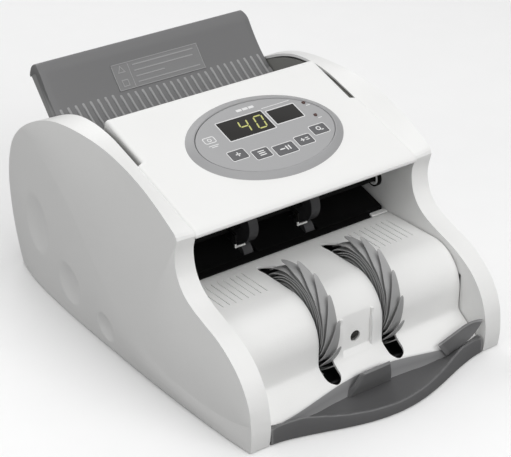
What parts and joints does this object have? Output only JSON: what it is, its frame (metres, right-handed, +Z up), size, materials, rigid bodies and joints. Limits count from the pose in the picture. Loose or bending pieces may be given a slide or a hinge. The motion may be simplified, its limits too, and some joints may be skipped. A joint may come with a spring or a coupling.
{
  "type": "banknote counting machine",
  "caption": "Compact friction-feed banknote counter: rear hopper plate, sloped top with an oval control panel, two vaned stacker wheels and an open note bay.",
  "frame": {"origin": "centre of the machine's footprint, on the floor under its rubber feet", "axes": "+Z up, the note bay faces -Y, +X to the operator's right"},
  "size_m": [0.2366, 0.3463, 0.176],
  "materials": {
    "white_case": "fine satin texture",
    "dark_base": "fine satin texture",
    "rubber": "matte",
    "panel_grey": "satin",
    "smoked_window": "gloss",
    "display_black": "matte",
    "indicator_red": "gloss",
    "key_grey": "satin",
    "circuit_board": "gloss",
    "sensor_dark": "gloss",
    "hopper_grey": "satin",
    "socket_black": "satin",
    "zinc_steel": "plated",
    "bronze": "sintered",
    "shaft_steel": "ground",
    "vane_grey": "matte",
    "pulley_black": "satin",
    "motor_steel": "satin",
    "roller_rubber": "matte",
    "roller_grey": "satin",
    "boss_grey": "satin",
    "bracket_grey": "satin",
    "belt_rubber": "matte",
    "guide_black": "satin",
    "clip_metal": "satin",
    "transformer": "varnished"
  },
  "bodies": {
    "chassis": {"base_tray": "dark_base", "front_apron": "dark_base", "rubber_feet": "rubber", "left_side_cover": "white_case", "right_side_cover": "white_case", "top_cover": "white_case", "panel_bezel": "panel_grey", "panel_overlay": "panel_grey", "display_windows": "smoked_window", "display_modules": "display_black", "indicator_leds": "indicator_red", "control_board": "circuit_board", "wheel_cover": "white_case", "sensor_lens": "sensor_dark", "hopper_plate": "hopper_grey", "left_hopper_cheek": "hopper_grey", "right_hopper_cheek": "hopper_grey", "rear_cover": "white_case", "power_inlet": "socket_black", "switch_housing": "socket_black", "case_screws": "zinc_steel", "left_frame_plate": "zinc_steel", "right_frame_plate": "zinc_steel", "tie_rods": "zinc_steel", "shaft_bearings": "bronze", "stacker_motor": "motor_steel", "encoder_sensor": "sensor_dark", "idler_shaft": "boss_grey", "retard_bracket": "bracket_grey", "retard_rollers": "roller_rubber", "main_motor": "motor_steel", "drive_belts": "belt_rubber", "lower_note_guide": "guide_black", "upper_note_guide": "guide_black", "guide_clips": "clip_metal", "main_board": "circuit_board", "power_supply": "transformer"},
    "stacker": {"stacker_shaft": "shaft_steel", "left_stacker_wheel": "vane_grey", "right_stacker_wheel": "vane_grey", "stacker_pulley": "pulley_black"},
    "stacker_motor_rotor": {"stacker_motor_rotor": "pulley_black"},
    "feed": {"feed_shaft": "shaft_steel", "feed_rollers": "roller_rubber", "feed_pulleys": "pulley_black"},
    "kicker": {"kicker_shaft": "shaft_steel", "kicker_rollers": "roller_rubber", "kicker_pulley": "pulley_black"},
    "exit_drive": {"exit_shaft": "shaft_steel", "exit_rollers": "roller_rubber", "exit_pulley": "pulley_black", "encoder_disc": "sensor_dark"},
    "idlers": {"idler_rollers": "roller_grey"},
    "main_motor_rotor": {"main_motor_rotor": "pulley_black"},
    "key_plus": {"key_plus": "key_grey"},
    "key_batch": {"key_batch": "key_grey"},
    "key_start": {"key_start": "key_grey"},
    "key_add": {"key_add": "key_grey"},
    "key_detect": {"key_detect": "key_grey"},
    "power_rocker": {"power_rocker": "socket_black"}
  },
  "joints": [
    {"name": "stacker_spin", "type": "hinge", "parent": "chassis", "child": "stacker", "pos_m": [0, -0.0935, 0.0465], "axis": [1, 0, 0], "continuous": true},
    {"name": "stacker_motor_spin", "type": "hinge", "parent": "chassis", "child": "stacker_motor_rotor", "pos_m": [0, -0.001, 0.038], "axis": [1, 0, 0], "continuous": true},
    {"name": "feed_spin", "type": "hinge", "parent": "chassis", "child": "feed", "pos_m": [0, 0.029, 0.104], "axis": [1, 0, 0], "continuous": true},
    {"name": "kicker_spin", "type": "hinge", "parent": "chassis", "child": "kicker", "pos_m": [0, 0.071, 0.113], "axis": [1, 0, 0], "continuous": true},
    {"name": "exit_spin", "type": "hinge", "parent": "chassis", "child": "exit_drive", "pos_m": [0, -0.0255, 0.0696], "axis": [1, 0, 0], "continuous": true},
    {"name": "idler_spin", "type": "hinge", "parent": "chassis", "child": "idlers", "pos_m": [0, -0.0265, 0.093], "axis": [1, 0, 0], "continuous": true},
    {"name": "main_motor_spin", "type": "hinge", "parent": "chassis", "child": "main_motor_rotor", "pos_m": [0, 0.105, 0.052], "axis": [1, 0, 0], "continuous": true},
    {"name": "key_plus_press", "type": "slide", "parent": "chassis", "child": "key_plus", "axis": [0, 0.309, -0.9511], "range_m": [0, 0.0006], "stiffness_N_per_m": 900},
    {"name": "key_batch_press", "type": "slide", "parent": "chassis", "child": "key_batch", "axis": [0, 0.309, -0.9511], "range_m": [0, 0.0006], "stiffness_N_per_m": 900},
    {"name": "key_start_press", "type": "slide", "parent": "chassis", "child": "key_start", "axis": [0, 0.309, -0.9511], "range_m": [0, 0.0006], "stiffness_N_per_m": 900},
    {"name": "key_add_press", "type": "slide", "parent": "chassis", "child": "key_add", "axis": [0, 0.309, -0.9511], "range_m": [0, 0.0006], "stiffness_N_per_m": 900},
    {"name": "key_detect_press", "type": "slide", "parent": "chassis", "child": "key_detect", "axis": [0, 0.309, -0.9511], "range_m": [0, 0.0006], "stiffness_N_per_m": 900},
    {"name": "power_rocker_tip", "type": "hinge", "parent": "chassis", "child": "power_rocker", "pos_m": [-0.025, 0.1682, 0.046], "axis": [1, 0, 0], "range_deg": [-14, 0]}
  ],
  "couplings": [
    {"joint": "stacker_motor_spin", "follows": "stacker_spin", "ratio": 2},
    {"joint": "kicker_spin", "follows": "feed_spin", "ratio": 1.1667},
    {"joint": "exit_spin", "follows": "feed_spin", "ratio": 1.5556},
    {"joint": "idler_spin", "follows": "feed_spin", "ratio": -1},
    {"joint": "main_motor_spin", "follows": "feed_spin", "ratio": 2.5}
  ]
}
